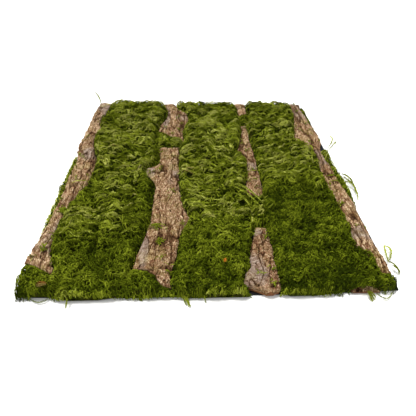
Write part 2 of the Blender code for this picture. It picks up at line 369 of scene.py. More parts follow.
def slab(name, rows, left, right, top, base, columns, wall):
    """A closed slab, as a profile carried from front to back.

    At each row the profile runs over the top from the left edge to the right, down the right wall,
    under the slab and up the left wall. Half-size and point-size copies of the first and last
    profile close the ends. top gives the height at (x, y), and wall the outward offset of a wall
    at (y, share of the way down). The map unrolls the profile across and the rows along.
    """
    share = np.linspace(0.0, 1.0, columns)
    x_top = left[:, None] * (1.0 - share) + right[:, None] * share
    y_top = np.repeat(rows[:, None], columns, 1)
    z_top = top(x_top, y_top)
    down = np.array([0.3, 0.65, 1.0])
    y_wall = np.repeat(rows[:, None], 3, 1)
    x_right = right[:, None] + wall(y_wall, down, 1)
    x_left = left[:, None] - wall(y_wall, down, 2)
    z_right = z_top[:, -1:] * (1.0 - down) + base * down
    z_left = z_top[:, :1] * (1.0 - down) + base * down
    x = np.concatenate([x_top, x_right, x_left[:, ::-1]], 1)
    z = np.concatenate([z_top, z_right, z_left[:, ::-1]], 1)
    y = np.repeat(rows[:, None], x.shape[1], 1)

    def closed(values, middle):
        first = [middle[:1], (middle[:1] + values[:1]) / 2]
        last = [(middle[-1:] + values[-1:]) / 2, middle[-1:]]
        return np.concatenate(first + [values] + last)

    count = x.shape[1]
    middles = [np.repeat(v.mean(1, keepdims=True), count, 1) for v in (x, y, z)]
    x, y, z = (closed(v, m) for v, m in zip((x, y, z), middles))
    rings = x.shape[0]
    width, thick = float((right - left).mean()), float(z_top.mean()) - base
    across = np.concatenate([share * width, width + down * thick, [width * 2 + thick],
                             width * 2 + thick + (1 - down[::-1][1:]) * thick, [2 * (width + thick)]])
    along = np.concatenate([[0.0, thick / 2], thick + rows - rows[0],
                            thick + rows[-1] - rows[0] + np.array([thick / 2, thick])])
    across, along = across / across[-1], along / along[-1]

    ring, place = np.meshgrid(np.arange(rings - 1), np.arange(count), indexing="ij")
    ring, place = ring.ravel(), place.ravel()
    after = (place + 1) % count
    faces = np.stack([ring * count + place, ring * count + after,
                      (ring + 1) * count + after, (ring + 1) * count + place], 1)
    u = np.stack([across[place], across[place + 1], across[place + 1], across[place]], 1)
    v = np.stack([along[ring], along[ring], along[ring + 1], along[ring + 1]], 1)
    points = np.stack([x, y, z], 2).reshape(-1, 3)
    mesh = mesh_of(name, points, [faces], np.stack([u, v], 2).reshape(-1, 2))
    on_top = np.zeros((rings, count), bool)
    on_top[2:-2, :columns] = True
    return mesh, points, on_top.ravel()


def mesh_of(name, points, face_sets, uv):
    """A mesh from arrays: the points, sets of faces with equal corner counts, and the map's corners."""
    mesh = bpy.data.meshes.new(name)
    mesh.vertices.add(len(points))
    mesh.vertices.foreach_set("co", points.astype(np.float32).ravel())
    corners = np.concatenate([faces.ravel() for faces in face_sets])
    sizes = np.concatenate([np.full(len(faces), faces.shape[1]) for faces in face_sets])
    mesh.loops.add(len(corners))
    mesh.loops.foreach_set("vertex_index", corners.astype(np.int32))
    mesh.polygons.add(len(sizes))
    mesh.polygons.foreach_set("loop_start", (np.cumsum(sizes) - sizes).astype(np.int32))
    mesh.uv_layers.new(name="OFBake").data.foreach_set("uv", uv.astype(np.float32).ravel())
    mesh.update(calc_edges=True)
    mesh.validate()
    return mesh


def add_values(mesh, name, values):
    """Stores one number for each point, for the material to read."""
    mesh.attributes.new(name, "FLOAT", "POINT").data.foreach_set("value", values.astype(np.float32))


def weld(mesh):
    """Joins points that share a place, such as the closed ends of a slab."""
    work = bmesh.new()
    work.from_mesh(mesh)
    bmesh.ops.remove_doubles(work, verts=work.verts, dist=1e-7)
    work.to_mesh(mesh)
    work.free()


def place_piece(mesh, material, node):
    """Puts a finished mesh in the scene in place of its plain solid in the frame."""
    mesh.materials.append(material)
    piece = bpy.data.objects.new(mesh.name, mesh)
    bpy.context.scene.collection.objects.link(piece)
    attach(piece, "root")
    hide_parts(node)
    return piece


def bark_finish():
    """Tan and pink flakes, grey where weathered, painted shade in the cracks, rust red where broken."""
    bark = Shading("dry_scaly_bark", 0.9, 0.12)
    place = bark.coordinates()
    grain = bark.noise(bark.stretched(place, (1.0, 0.6, 1.0)), 620.0, 4.0, 0.65, 0.8)
    blotch = bark.noise(place, 110.0, 4.0, 0.6, 0.4)
    tint = bark.noise(place, 42.0, 3.0, 0.6, 0.3)
    tone = bark.attribute("tone")
    scales = bark.ramp(tone, ((0.16, (0.088, 0.047, 0.021)), (0.34, (0.180, 0.108, 0.056)),
                              (0.48, (0.218, 0.154, 0.080)), (0.66, (0.315, 0.230, 0.136)),
                              (0.90, (0.470, 0.368, 0.235))))
    pinks = bark.ramp(tone, ((0.16, (0.120, 0.052, 0.030)), (0.48, (0.285, 0.150, 0.096)),
                             (0.90, (0.480, 0.330, 0.240))))
    patches = bark.noise(place, 300.0, 2.0, 0.6, 0.5)
    scales = bark.mix(bark.ramp(patches, ((0.50, (0.0, 0.0, 0.0)), (0.62, (0.8, 0.8, 0.8)))), scales, pinks)
    greys = bark.ramp(tone, ((0.18, (0.105, 0.080, 0.066)), (0.50, (0.200, 0.160, 0.138)),
                             (0.90, (0.340, 0.290, 0.262))))
    colour = bark.mix(bark.math("MULTIPLY", bark.attribute("grey"), 0.8), scales, greys)
    stain = bark.ramp(blotch, ((0.36, (0.80, 0.62, 0.48)), (0.50, (1.0, 1.0, 1.0)),
                               (0.68, (1.10, 1.04, 0.92))))
    colour = bark.mix(0.55, colour, stain, "MULTIPLY")
    algae = bark.ramp(tint, ((0.50, (0.0, 0.0, 0.0)), (0.72, (0.5, 0.5, 0.5))))
    colour = bark.mix(algae, colour, (0.240, 0.205, 0.055))
    streaks = bark.ramp(grain, ((0.34, (0.50, 0.43, 0.38)), (0.48, (0.97, 0.95, 0.94)),
                                (0.62, (1.17, 1.17, 1.16))))
    colour = bark.mix(1.0, colour, streaks, "MULTIPLY")
    torn = bark.ramp(blotch, ((0.35, (0.15, 0.048, 0.018)), (0.62, (0.36, 0.150, 0.062))))
    colour = bark.mix(bark.attribute("broken"), colour, torn)
    crack_shade = bark.attribute("crack_shade")
    # Painted shade in the recesses, by the crack share.
    depth = bark.ramp(crack_shade, ((0.0, (1.0, 1.0, 1.0)), (0.35, (0.66, 0.56, 0.46)),
                               (0.95, (0.16, 0.105, 0.060))))
    colour = bark.mix(1.0, colour, depth, "MULTIPLY")
    bark.bump(grain, 0.5, 0.0005)
    return bark.finish(colour)


def make_bark(name, seed, grain, lift, material, slot="bark", thickness=BARK_SIDE, rise=BARK_RISE):
    """One length of bark: a slab on the frame piece's outline, with ragged sides and the bark's relief."""
    low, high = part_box(name)
    count = int((high.y - low.y) / BARK_ROW)
    rows = np.linspace(low.y + END_CLEARANCE, high.y - END_CLEARANCE, count)
    left, right = spans(name, rows)
    left = left + RAGGED * rough(rows, rows * 0 + 1.0, 0.007, 4, seed + 1)
    right = right + RAGGED * rough(rows, rows * 0 + 2.0, 0.007, 4, seed + 2)
    columns = max(8, int((right - left).max() / BARK_COLUMN))

    def top(x, y):
        """Thickest along the middle line, thinner and turned down at both edges."""
        edge = np.abs(2.0 * (x - left[:, None]) / (right - left)[:, None] - 1.0)
        drop = 0.0020 * smooth(0.86, 1.0, edge)
        ends = 0.0020 * (1.0 - smooth(0.0, 0.006, np.minimum(y - low.y, high.y - y)))
        face = thickness + rise * (1.0 - edge ** 2) - drop - ends + bark_relief(x, y, seed, grain)[0]
        return low.z + np.maximum(face, LEAST_THICKNESS)

    def wall(y, down, side):
        return 0.0006 * rough(y, down * 0.01 + side, 0.003, 3, seed + 30 + side) - 0.0008 * down

    mesh, points, on_top = slab(name + "_rough", rows, left, right, top, low.z, columns, wall)
    _, tone, crack_shade, grey = bark_relief(points[:, 0], points[:, 1], seed, grain, lift)
    side = ~on_top
    add_values(mesh, "tone", np.where(side, 0.35, tone))
    add_values(mesh, "crack_shade", np.where(side, 0.35, crack_shade))
    add_values(mesh, "grey", np.where(side, 0.0, grey))
    add_values(mesh, "broken", np.where(side, 0.75 if slot == "broken_bark" else 0.55, 0.0))
    weld(mesh)
    return place_piece(mesh, material, name)


dry_bark = bark_finish()
BARK_GRAIN = {"bark_left": (2.6, 0.06), "bark_centre_left_front": (1.9, 0.01),
              "bark_centre_left_back": (2.2, -0.05), "bark_centre_right_front": (1.4, -0.03),
              "bark_centre_right_middle": (1.8, -0.02), "bark_centre_right_back": (2.0, -0.02),
              "bark_right": (3.6, 0.03)}
for number, (name, (grain, lift)) in enumerate(BARK_GRAIN.items()):
    make_bark(name, 100 * number + 7, grain, lift, dry_bark)
make_bark("bark_front_chip", 907, 2.0, -0.05, dry_bark, "broken_bark", 0.0045, 0.0006)

# ------------------------------------------------------------------------------------------------
# Moss beds
# Each pad and tuft of moss has a dense dark mat of old shoots under the green ones, pressed on the
# felt with glue. The green shoots grow out of it and lie over it. Its near-black colour is partly the
# old shoots' own and partly painted shade in the pockets between the green shoots.
# ------------------------------------------------------------------------------------------------
CELL = 0.001
HALF_FIELD = 0.275
PADS = ("moss_left", "moss_centre", "moss_right")
TUFTS = ("moss_front_left_corner", "moss_front_tuft", "moss_bridge_left",
         "moss_bridge_right_front", "moss_bridge_right_back", "moss_front_right_corner")
FRINGES = ("moss_left_fringe", "moss_right_fringe", "moss_back_right_fringe")
MOSS_LEVEL = {**{name: 0.0190 for name in PADS}, **{name: 0.0180 for name in TUFTS},
              **{name: 0.0085 for name in FRINGES}}
BARK_LEVEL = 0.0125
OVER_CHIP = (0.178, 0.224, -0.2512, -0.2400)
OVER_CORNER = (0.224, 0.246, -0.2520, -0.2400)
FELT_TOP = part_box("felt_backing")[1].z
SHOULDER = 2
VELVET_PLACES = ((-0.104, -0.090, 0.016, 0.075), (-0.200, -0.080, 0.030, 0.030),
                 (0.055, 0.140, 0.020, 0.030))
ROPE_WIDTH = 0.0092
ROPE_RISE = 0.0060
BED_DEPTH = 0.0052
BED_STEP = 0.0035
BED_INSET = 0.0010

field_line = np.arange(-HALF_FIELD, HALF_FIELD + CELL / 2, CELL)
field_x, field_y = np.meshgrid(field_line, field_line)


def plan_mask(name):
    """Which points of the field lie inside a frame piece's outline."""
    low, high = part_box(name)
    inside = (field_line > low.y) & (field_line < high.y)
    mask = np.zeros(field_x.shape, bool)
    left, right = spans(name, field_line[inside])
    mask[inside] = (field_line >= left[:, None]) & (field_line <= right[:, None])
    return mask


def patch_mask(patch):
    """Which points of the field lie inside a rectangle."""
    low_x, high_x, low_y, high_y = patch
    return (field_x > low_x) & (field_x < high_x) & (field_y > low_y) & (field_y < high_y)


def softened(field, reach):
    """Each value becomes the average of those around it, by weights that fall off like a bell."""
    for axis in (0, 1):
        total, weights = 0.0, 0.0
        for shift in range(-2 * reach, 2 * reach + 1):
            weight = math.exp(-0.5 * (shift / reach) ** 2)
            total = total + weight * np.roll(field, shift, axis)
            weights += weight
        field = total / weights
    return field


def velvet(x, y):
    """1 where the moss is short, fine and cushioned, 0 where long shoots lie over each other.

    The front of the mat is velvety, up to a line that lies further back on the right, and so are
    a few rounded places beside the bark.
    """
    line = np.where(x > 0.09, -0.055, np.where(x > -0.07, -0.155, -0.160))
    line = line + 0.030 * rough(x, y, 0.060, 2, 401)
    share = 1.0 - smooth(-0.035, 0.035, y - line)
    for centre_x, centre_y, reach_x, reach_y in VELVET_PLACES:
        away = np.hypot((x - centre_x) / reach_x, (y - centre_y) / reach_y)
        share = np.maximum(share, 1.0 - smooth(0.75, 1.15, away))
    return share


def flow(x, y):
    """Counts the ropes of long shoots from front to back, each bent by noise 50 mm and 22 mm across."""
    return y / ROPE_WIDTH + 2.0 * rough(x, y, 0.050, 2, 421) + 0.7 * rough(x, y, 0.022, 1, 431)


def ropes(x, y):
    """1 along the top of each rope and 0 in the gaps: a cosine of the flow, weaker here and there."""
    wave = 0.5 + 0.5 * np.cos(2 * math.pi * flow(x, y))
    return wave * (0.72 + 0.5 * rough(x, y, 0.016, 2, 441))


def moss_lumps(x, y):
    """Broad swells 45 mm across, cushions 24 mm and 12 mm across with creases between, and hollows."""
    bent_x = x + 0.011 * rough(x, y, 0.028, 2, 311)
    bent_y = y + 0.011 * rough(x, y, 0.028, 2, 317)
    _, large, _, _ = cells(bent_x / 0.024, bent_y / 0.024, 321)
    _, small, _, _ = cells(bent_y / 0.0125, bent_x / 0.0125, 331)
    soft = velvet(x, y)
    hollow = smooth(0.25, 0.60, -rough(x, y, 0.019, 2, 341))
    return (0.0032 * rough(x, y, 0.045, 2, 301) + (0.0020 + 0.0034 * soft) * (smooth(0.0, 0.5, large) - 0.6)
            + (0.0006 + 0.0030 * soft) * (smooth(0.0, 0.5, small) - 0.6) - 0.0050 * hollow)


def build_ground():
    """The height that shoots lie on everywhere: moss, bark, bare felt or the table, with soft steps.

    Moss that is higher than the bark rounds down towards its own border, and so does the whole mat.
    """
    on_felt = (np.abs(field_x) < 0.2515) & (np.abs(field_y) < 0.2505)
    ground = np.where(on_felt, FELT_TOP + 0.0005, 0.0015)
    ground = np.where(plan_mask("bark_front_chip"), 0.0090, ground)
    for name in BARK_GRAIN:
        ground = np.where(plan_mask(name), BARK_LEVEL, ground)
    masks = {}
    from_edge = np.minimum(0.252 - np.abs(field_x), np.minimum(0.252 - field_y, field_y + 0.257))
    back = smooth(0.0, 0.030, 0.252 - field_y)
    rounding = (0.62 + 0.38 * smooth(0.0, 0.009, from_edge)) * (0.80 + 0.20 * back)
    for name, level in MOSS_LEVEL.items():
        masks[name] = plan_mask(name)
        if name == "moss_right":
            masks[name] |= patch_mask(OVER_CHIP)
        if name == "moss_front_right_corner":
            masks[name] |= patch_mask(OVER_CORNER)
        border = smooth(0.5, 0.97, softened(masks[name].astype(float), 4)) if level > BARK_LEVEL else 1.0
        lumpy = (level * rounding * (0.62 + 0.38 * border)
                 + moss_lumps(field_x, field_y) * (level / 0.019) * (0.35 + 0.65 * back))
        ground = np.where(masks[name], FELT_TOP + lumpy, ground)
    any_moss = softened(np.maximum.reduce([mask.astype(float) for mask in masks.values()]), SHOULDER)
    relief = (ropes(field_x, field_y) - 0.45) * (1.0 - velvet(field_x, field_y))
    return softened(ground, SHOULDER) + ROPE_RISE * relief * any_moss ** 2, masks, any_moss


ground_field, moss_masks, any_moss = build_ground()
bark_field = np.maximum.reduce([plan_mask(name).astype(float) for name in BARK_GRAIN])


def ground_at(x, y):
    """The field's height at any place, blended between its four nearest points."""
    fx = np.clip((x + HALF_FIELD) / CELL, 0, len(field_line) - 1.001)
    fy = np.clip((y + HALF_FIELD) / CELL, 0, len(field_line) - 1.001)
    ix, iy = fx.astype(int), fy.astype(int)
    tx, ty = fx - ix, fy - iy
    low = ground_field[iy, ix] * (1 - tx) + ground_field[iy, ix + 1] * tx
    high = ground_field[iy + 1, ix] * (1 - tx) + ground_field[iy + 1, ix + 1] * tx
    return low * (1 - ty) + high * ty


def nearest_in(field, x, y):
    """A field's value at the nearest point."""
    ix = np.clip(np.rint((x + HALF_FIELD) / CELL).astype(int), 0, len(field_line) - 1)
    iy = np.clip(np.rint((y + HALF_FIELD) / CELL).astype(int), 0, len(field_line) - 1)
    return field[iy, ix]


def bed_finish():
    """Old shoots: nearly black green, with brown thatch and a few paler threads; the near-black is partly
    painted shade where the mat shows between the green shoots.
    """
    bed = Shading("old_moss_and_shade", 1.0, 0.0)
    place = bed.coordinates()
    thatch_and_shade = bed.noise(bed.stretched(place, (1.0, 0.6, 1.0)), 420.0, 5.0, 0.7, 1.5)
    patches = bed.noise(place, 60.0, 3.0)
    # Painted shade: the darkest greens and browns stand for the shade deep between the shoots, as well as
    # the old shoots' own colour.
    green = bed.ramp(thatch_and_shade, ((0.30, (0.008, 0.012, 0.001)), (0.55, (0.034, 0.046, 0.003)),
                              (0.78, (0.095, 0.120, 0.012))))
    brown = bed.ramp(thatch_and_shade, ((0.30, (0.012, 0.010, 0.003)), (0.60, (0.055, 0.046, 0.012)),
                              (0.80, (0.130, 0.110, 0.035))))
    colour = bed.mix(bed.ramp(patches, ((0.52, (0, 0, 0)), (0.70, (1, 1, 1)))), green, brown)
    bed.bump(thatch_and_shade, 1.0, 0.0025)
    return bed.finish(colour)


def make_bed(name, material):
    """The dark mat under one pad or tuft: a slab on its outline, a little lower than the shoots."""
    low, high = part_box(name)
    count = max(6, int((high.y - low.y) / BED_STEP))
    rows = np.linspace(low.y + BED_INSET, high.y - BED_INSET, count)
    left, right = spans(name, rows)
    inset = np.minimum(BED_INSET, 0.2 * (right - left))
    left, right = left + inset, right - inset
    columns = max(4, int((right - left).max() / BED_STEP))

    def top(x, y):
        """Shoots cover the bed by its full depth inside the piece, and by a thin layer at its border."""
        depth = 0.0015 + BED_DEPTH * smooth(0.50, 1.0, nearest_in(any_moss, x, y))
        return np.maximum(ground_at(x, y) - depth + 0.0010 * rough(x, y, 0.006, 2, 351), low.z + 0.0020)

    mesh, _, _ = slab(name + "_bed", rows, left, right, top, low.z, columns,
                      lambda y, down, side: -0.0005 * down)
    weld(mesh)
    mesh.shade_smooth()
    return place_piece(mesh, material, name)


thatch_and_shade = bed_finish()
for name in MOSS_LEVEL:
    make_bed(name, thatch_and_shade)

# ------------------------------------------------------------------------------------------------
# Moss shoots
# Long feathery shoots of sheet moss lie over each other in ropes, arching up and tucking back in,
# and short fine ones make velvety cushions. Each is a stem with rows of small pointed leaves.
# ------------------------------------------------------------------------------------------------
MM = 0.001
SIDE_ROWS = (0.0, math.pi)
ROUND_ROWS = (-0.1, math.pi + 0.1, math.pi / 2)
BACK_LIMIT = 0.2520
SIDE_LIMITS = {"moss_left_fringe": (-0.2545, 0.2510), "moss_right_fringe": (-0.2510, 0.2540),
               "moss_front_left_corner": (-0.2500, 0.2510)}
BARE_FRONTS = ((-0.2275, -0.2050, -0.2515), (0.1810, 0.2240, -0.2506), (0.2400, 0.2600, -0.2480))
MAT_SIDES = (-0.2512, 0.2510)
HALF_LINE = -0.04
LOCK = 4
LONG_DENSITY = 88000
FILL_DENSITY = 42000
VELVET_DENSITY = 330000
RIM_DENSITY = 330000
VELVET_LONG_SHARE = 0.15
ROPE_GAP_SHARE = 0.15
TUFT_RIM_SHARE = 1.8
LONG_STEPS = 18
SHORT_STEPS = 8
VELVET_STEPS = 5
FILL_LENGTHS = (0.006, 0.012)
VELVET_LENGTHS = (0.0035, 0.0075)
RIM_LENGTHS = (0.003, 0.0062)
RIM_WIDTH = 3
SPRIG_LENGTHS = (0.004, 0.009)
STEM_STRANDS = 3
STEM_LEAF_SHARE = 1.3


def moss_finish():
    """Green by each shoot's tone, across the map, which also carries painted light and shade, and paler
    from root to tip, up the map: partly the darker older stem, partly painted shade where the root tucks
    under other shoots.
    """
    moss = Shading("green_feather_moss", 0.9, 0.03)
    map_node = moss.nodes.new("ShaderNodeUVMap")
    map_node.uv_map = "OFBake"
    parts = moss.nodes.new("ShaderNodeSeparateXYZ")
    moss.link(map_node.outputs["UV"], parts.inputs["Vector"])
    tones = moss.ramp(parts.outputs["X"], ((0.00, (0.015, 0.024, 0.001)), (0.20, (0.050, 0.070, 0.002)),
                                           (0.45, (0.150, 0.186, 0.009)), (0.65, (0.285, 0.330, 0.026)),
                                           (0.82, (0.430, 0.465, 0.085)), (0.92, (0.480, 0.440, 0.150)),
                                           (0.97, (0.200, 0.115, 0.035)), (1.00, (0.700, 0.270, 0.030))))
    # Painted shade: roots are darkened as if shaded by the shoots above, besides being older.
    age_and_shade = moss.ramp(parts.outputs["Y"], ((0.00, (0.25, 0.25, 0.20)), (0.18, (0.75, 0.75, 0.70)),
                                         (0.45, (1.0, 1.0, 1.0)), (1.00, (1.15, 1.13, 1.10))))
    return moss.finish(moss.mix(1.0, tones, age_and_shade, "MULTIPLY"))


def slope_heading(field_of, x, y, reach):
    """The way that a field falls at each place, in radians."""
    fall_x = field_of(x - reach, y) - field_of(x + reach, y)
    fall_y = field_of(x, y - reach) - field_of(x, y + reach)
    return np.arctan2(fall_y, fall_x)


def combing(x, y):
    """The way that long shoots lie, in radians: along a rope, at a right angle to the flow's slope."""
    return slope_heading(flow, x, y, 0.0010) + math.pi / 2


def front_limit(x):
    """How far forward shoots lie: a wavy line past the felt's edge, drawn back where felt or bark shows."""
    limit = -0.2572 + 0.0032 * rough(x, x * 0.0, 0.034, 3, 451)
    for low, high, line in BARE_FRONTS:
        limit = np.where((x > low) & (x < high), line, limit)
    return limit


def lay(seeds, steps, sides, rng):
    """Paths of many shoots at once, and the seeds of those kept.

    A path goes forward step by step. Its heading is the start heading, plus the turn of the
    combing since the start, plus bend times the share along it, plus a sine wave. Its height is
    the ground's plus its layer, plus an arch that is a half sine, minus a tuck at the root that
    falls off as the cube and a dip at the tip that grows as the fourth power. One that leaves the
    moss is left out, and one that crosses the mat's edge is moved in.
    """
    count = len(seeds["x"])
    share = np.linspace(0.0, 1.0, steps + 1)[None, :]
    x = np.empty((count, steps + 1))
    y = np.empty((count, steps + 1))
    x[:, 0], y[:, 0] = seeds["x"], seeds["y"]
    follows = bool(seeds["comb"].any())
    first = combing(x[:, 0], y[:, 0]) if follows else 0.0
    step = seeds["length"] / steps
    for k in range(steps):
        turned = seeds["bend"] * share[0, k]
        if follows:
            change = combing(x[:, k], y[:, k]) - first
            turned = turned + seeds["comb"] * (np.mod(change + math.pi / 2, math.pi) - math.pi / 2)
        turn_count = seeds["waves"] * share[0, k] + seeds["phase"]
        turned = turned + seeds["wave"] * np.sin(2 * math.pi * turn_count)
        x[:, k + 1] = x[:, k] + step * np.cos(seeds["heading"] + turned)
        y[:, k + 1] = y[:, k] + step * np.sin(seeds["heading"] + turned)
    for line, low, high in ((x, sides[0], sides[1]), (y, front_limit(seeds["x"]), BACK_LIMIT)):
        trim = rng.uniform(0.0, 0.002, count)
        line += (np.clip(low + trim - line.min(1), 0.0, None)
                 - np.clip(line.max(1) - high + trim, 0.0, None))[:, None]
    keep = nearest_in(any_moss, x, y).min(1) > seeds["stay"]
    x, y = x[keep], y[keep]
    seeds = {name: values[keep] for name, values in seeds.items()}
    z = (ground_at(x, y) + seeds["layer"][:, None] + seeds["arch"][:, None] * np.sin(math.pi * share)
         - seeds["tuck"][:, None] * (1.0 - share) ** 3 - seeds["dip"][:, None] * share ** 4)
    return np.stack([x, y, np.maximum(z, 0.0015)], 2), seeds


def leafy(path, leaf, tone, rows, rng):
    """Points, faces and map of many shoots: along each path, rows of pointed leaves on its spine.

    A leaf stands on the spine between one step and the next, or the second next in the last row,
    and points out from the stem at its row's angle, and forward. Leaves are longest past the
    middle of the shoot.
    """
    count, steps = len(path), path.shape[1] - 1
    share = np.linspace(0.0, 1.0, steps + 1)[None, :]
    along = path[:, 1:] - path[:, :-1]
    step = np.linalg.norm(along, axis=2, keepdims=True)
    along = along / step
    level = np.stack([-along[..., 1], along[..., 0], np.zeros_like(along[..., 0])], 2)
    level /= np.maximum(np.linalg.norm(level, axis=2, keepdims=True), 1e-6)
    upright = np.cross(along, level)
    upright *= np.where(upright[..., 2:] < 0, -1.0, 1.0)
    middle = (path[:, 1:] + path[:, :-1]) / 2
    taper = np.sin(math.pi * np.clip(0.10 + 0.86 * share[:, 1:], 0, 1)) ** 0.6
    tips = []
    for row in rows:
        angle = row + rng.normal(0.0, 0.45, (count, steps))
        reach = leaf[:, None] * taper * rng.uniform(0.65, 1.3, (count, steps))
        out = level * np.cos(angle)[..., None] + upright * np.sin(angle)[..., None]
        tip = middle + out * reach[..., None] + along * (0.6 * step)
        tip[..., 2] = np.maximum(tip[..., 2], 0.0008)
        tips.append(tip)
    points = np.concatenate([path] + tips, 1).reshape(-1, 3)
    start = (np.arange(count) * (steps + 1 + len(rows) * steps))[:, None]
    k = np.arange(steps)[None, :]
    leaves = []
    for number in range(len(rows)):
        after = np.minimum(k + (2 if number == len(rows) - 1 else 1), steps)
        tip = start + steps + 1 + number * steps + k
        corners = (start + k, tip, start + after) if number == 0 else (start + k, start + after, tip)
        leaves.append(np.stack(corners, 2))
    leaves = np.concatenate(leaves, 1).reshape(-1, 3)
    tip_share = (share[:, 1:] + share[:, :-1]) / 2
    up_map = np.concatenate([0.05 + 0.80 * share] + [0.14 + 0.80 * tip_share] * len(rows), 1)
    across = np.concatenate([np.zeros((1, steps + 1)), np.full((1, len(rows) * steps), 0.012)], 1)
    uv = np.stack([np.clip(tone[:, None] + across, 0.001, 0.999), np.repeat(up_map, count, 0)], 2)
    return points, leaves, uv.reshape(-1, 2)


def grow(seeds, steps, rows, sides, rng):
    """Shoots from their seeds: paths over the ground, with leaves on them."""
    path, seeds = lay(seeds, steps, sides, rng)
    return leafy(path, seeds["leaf"], seeds["tone"], rows, rng)


def moss_mesh(name, parts):
    """Joins several sets of shoots into one mesh."""
    starts = np.cumsum([0] + [len(part[0]) for part in parts[:-1]])
    points = np.concatenate([part[0] for part in parts])
    leaves = np.concatenate([part[1] + start for part, start in zip(parts, starts)])
    uv = np.concatenate([part[2] for part in parts])
    return mesh_of(name, points, [leaves], uv[leaves.ravel()])


def scatter(weight, count, rng):
    """Random places on the field, more of them where the weight is greater."""
    cells_in = np.flatnonzero(weight > 0)
    chance = weight.ravel()[cells_in]
    pick = rng.choice(cells_in, count, p=chance / chance.sum())
    x = field_line[pick % len(field_line)] + rng.uniform(-CELL / 2, CELL / 2, count)
    y = field_line[pick // len(field_line)] + rng.uniform(-CELL / 2, CELL / 2, count)
    return x, y


def tone_and_shade_at(x, y):
    """Painted light and shade: lighter on swells, on rope tops and on the mat's rim, where light falls, and
    darker in creases, hollows, gaps between ropes and along the front, where shade falls; the velvety
    places are darker too.

    Towards the back the ropes stand out more, and the whole is a little darker.
    """
    outside = smooth(0.245, 0.251, np.abs(x)) + 1.5 * smooth(0.2515, 0.2550, -y)
    front = np.maximum(smooth(0.235, 0.250, -y), smooth(0.08, 0.11, x) * smooth(0.06, 0.14, -y))
    back = smooth(0.0, 0.15, y)
    soft = velvet(x, y)
    # Painted light on swells, rope tops and the rim; painted shade in creases, hollows, rope gaps and at
    # the front.
    return (0.49 + 0.12 * rough(x, y, 0.040, 2, 411) + (27.0 + 10.0 * soft) * moss_lumps(x, y)
            - 0.145 * soft + (0.52 + 0.16 * back) * (1.0 - soft) * (ropes(x, y) - 0.46)
            + 0.20 * outside - 0.09 * front - 0.03 * back)


def long_locks(weight, count, rng):
    """Locks of a few long shoots that start together and lie side by side along a rope."""
    lock = np.repeat(np.arange(count // LOCK), LOCK)
    x, y = scatter(weight, count // LOCK, rng)
    heading = combing(x, y) + np.where(rng.uniform(0, 1, len(x)) < 0.5, 0.0, math.pi) \
        + rng.normal(0, 0.22, len(x))
    length = rng.uniform(0.015, 0.030, len(x))
    total = len(lock)

    def shared(values, spread):
        return values[lock] + rng.normal(0.0, spread, total)

    upper = rng.uniform(0, 1, len(x)) < 0.5
    layer = np.where(upper, rng.uniform(0.0000, 0.0026, len(x)), rng.uniform(-0.0042, -0.0010, len(x)))
    soft = velvet(x, y)
    # Painted light and shade: upper shoots lighter as if lit, lower shoots darker as if shaded by those
    # above.
    tone = tone_and_shade_at(x, y) + np.where(upper, 0.16 - 0.14 * soft, -0.28) + rng.normal(0, 0.09, len(x))
    tone = shared(tone, 0.07)
    dry = rng.uniform(0, 1, total) < 0.008 * (1.0 - soft[lock])
    return {"x": shared(x, 0.0013), "y": shared(y, 0.0013), "heading": shared(heading, 0.10),
            "length": length[lock] * rng.uniform(0.65, 1.1, total),
            "leaf": rng.uniform(0.0011, 0.0020, total), "layer": shared(layer, 0.0004),
            "arch": shared(rng.uniform(0.0, 0.0035, len(x)), 0.0005),
            "tuck": rng.uniform(0.002, 0.006, total), "dip": rng.uniform(0.0, 0.003, total),
            "bend": shared(rng.normal(0, 0.7, len(x)), 0.25), "wave": rng.uniform(0.10, 0.55, total),
            "waves": rng.uniform(0.8, 1.6, total), "phase": shared(rng.uniform(0, 1, len(x)), 0.06),
            "comb": np.full(total, 1.0), "stay": np.where(rng.uniform(0, 1, total) < 0.03, -1.0, 0.30),
            "tone": np.where(dry, rng.uniform(0.84, 0.95, total), np.clip(tone, 0.02, 0.84))}


def fine_shoots(weight, count, lengths, rng):
    """Short fine shoots that point every way and make the cushions' pile, or fill in between long ones."""
    x, y = scatter(weight, count, rng)
    layer = rng.uniform(-0.0022, 0.0010, count)
    # Painted shade: the lower a shoot lies, the darker it is.
    tone = tone_and_shade_at(x, y) + rng.normal(0, 0.06, count) + 30.0 * layer + 0.01
    return {"x": x, "y": y, "heading": rng.uniform(-math.pi, math.pi, count),
            "length": rng.uniform(*lengths, count),
            "leaf": rng.uniform(0.0007, 0.0011, count), "layer": layer,
            "arch": rng.uniform(0.0005, 0.0025, count), "tuck": rng.uniform(0.001, 0.004, count),
            "dip": rng.uniform(0.0, 0.0015, count), "bend": rng.normal(0, 0.7, count),
            "wave": rng.uniform(0.0, 0.4, count), "waves": rng.uniform(0.6, 1.2, count),
            "phase": rng.uniform(0, 1, count), "comb": np.zeros(count),
            "stay": np.full(count, 0.06), "tone": np.clip(tone, 0.02, 0.80)}


